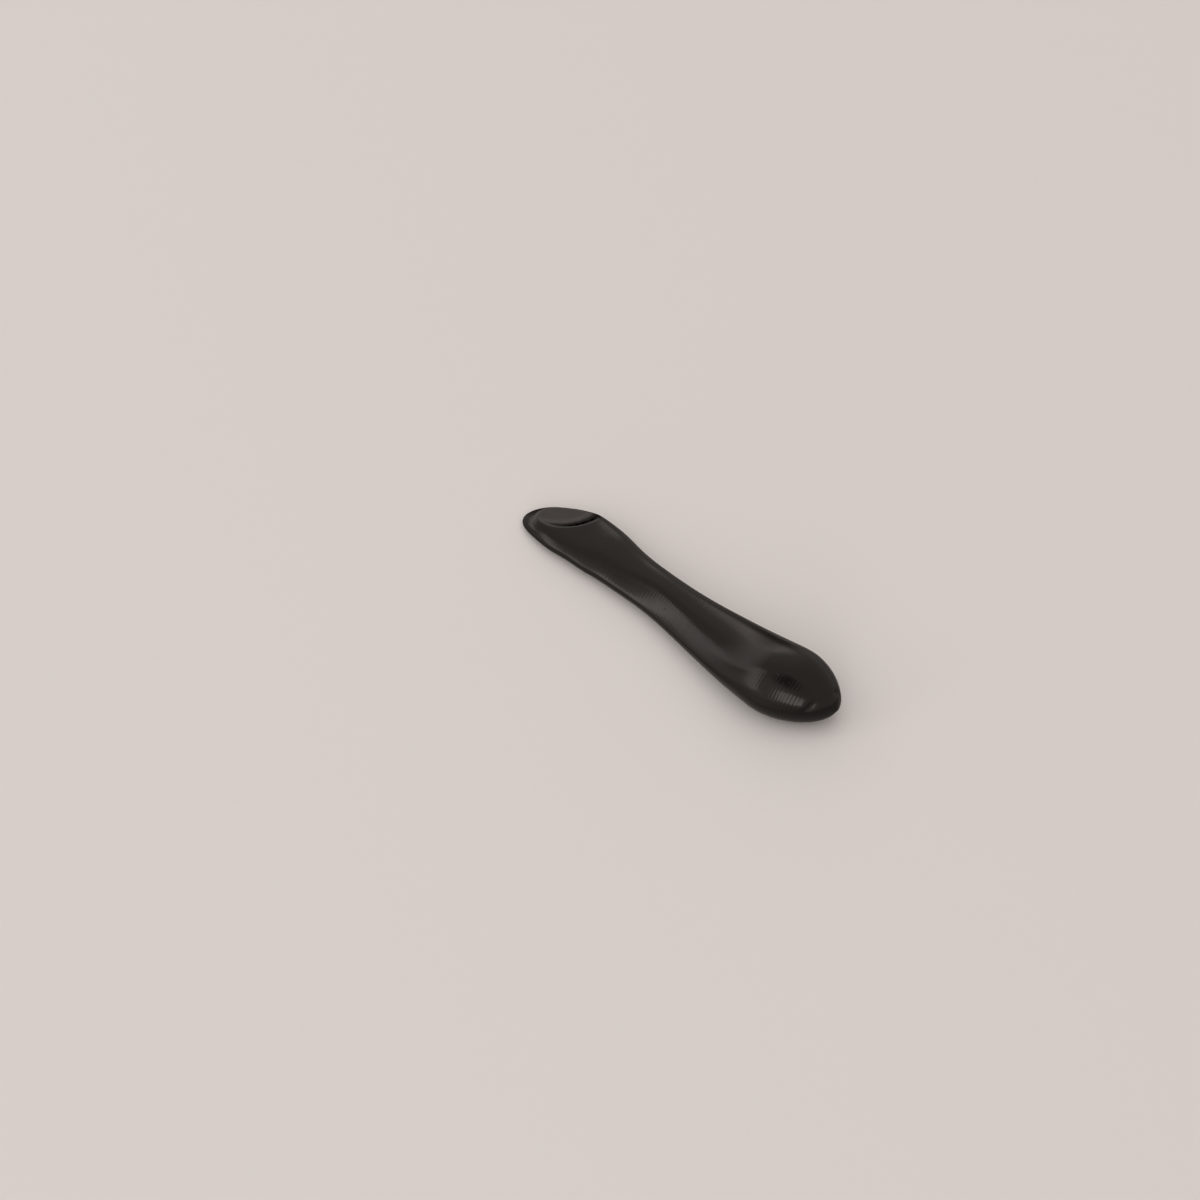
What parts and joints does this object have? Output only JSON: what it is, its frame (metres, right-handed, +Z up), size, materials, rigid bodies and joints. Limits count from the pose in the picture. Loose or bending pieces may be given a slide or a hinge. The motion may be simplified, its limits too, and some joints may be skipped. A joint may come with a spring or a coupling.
{
  "type": "bone folder",
  "caption": "Small one-piece plastic bone folder: an oblique, scooped creasing blade, a narrow waist and a thick rounded grip.",
  "frame": {"origin": "middle of the footprint, on the flat underside", "axes": "+X from the blade's tip to the nose of the grip, +Y to the side of the blade's shoulder, +Z up from the flat underside"},
  "size_m": [0.0636, 0.0134, 0.0095],
  "materials": {
    "black_plastic": "glossy black printed plastic with fine crosswise layer ridges"
  },
  "bodies": {
    "root": {"folder_body": "black_plastic"}
  },
  "joints": []
}
